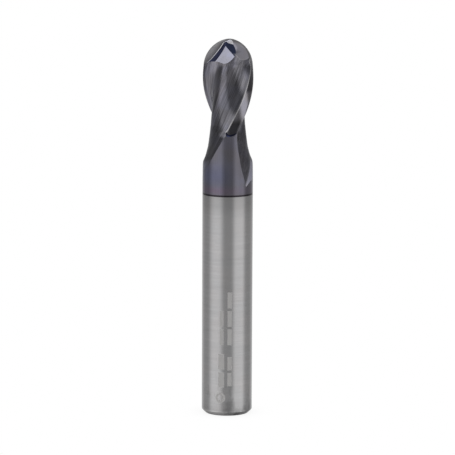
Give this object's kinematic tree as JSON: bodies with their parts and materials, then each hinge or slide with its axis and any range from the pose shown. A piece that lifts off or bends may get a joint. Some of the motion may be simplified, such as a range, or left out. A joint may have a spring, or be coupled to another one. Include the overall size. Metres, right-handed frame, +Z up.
{
  "type": "ball nose end mill",
  "caption": "Solid carbide ball nose end mill with right-hand helical flutes, a dark coated cutting head and a plain ground cylindrical shank.",
  "frame": {"origin": "centre of the shank's end face, the end that goes into the tool holder", "axes": "+Z along the tool axis from the shank end towards the ball tip; -Y is the side the picture shows; right-handed, Z up"},
  "size_m": [0.01, 0.01, 0.075],
  "materials": {
    "ground_carbide": "cylindrically ground bare tungsten carbide, fine circumferential lines",
    "dark_coating": "dark violet-grey PVD hard coating over ground flutes, semi-gloss"
  },
  "bodies": {
    "root": {"carbide_body": "ground_carbide", "hard_coating": "dark_coating"}
  },
  "joints": []
}
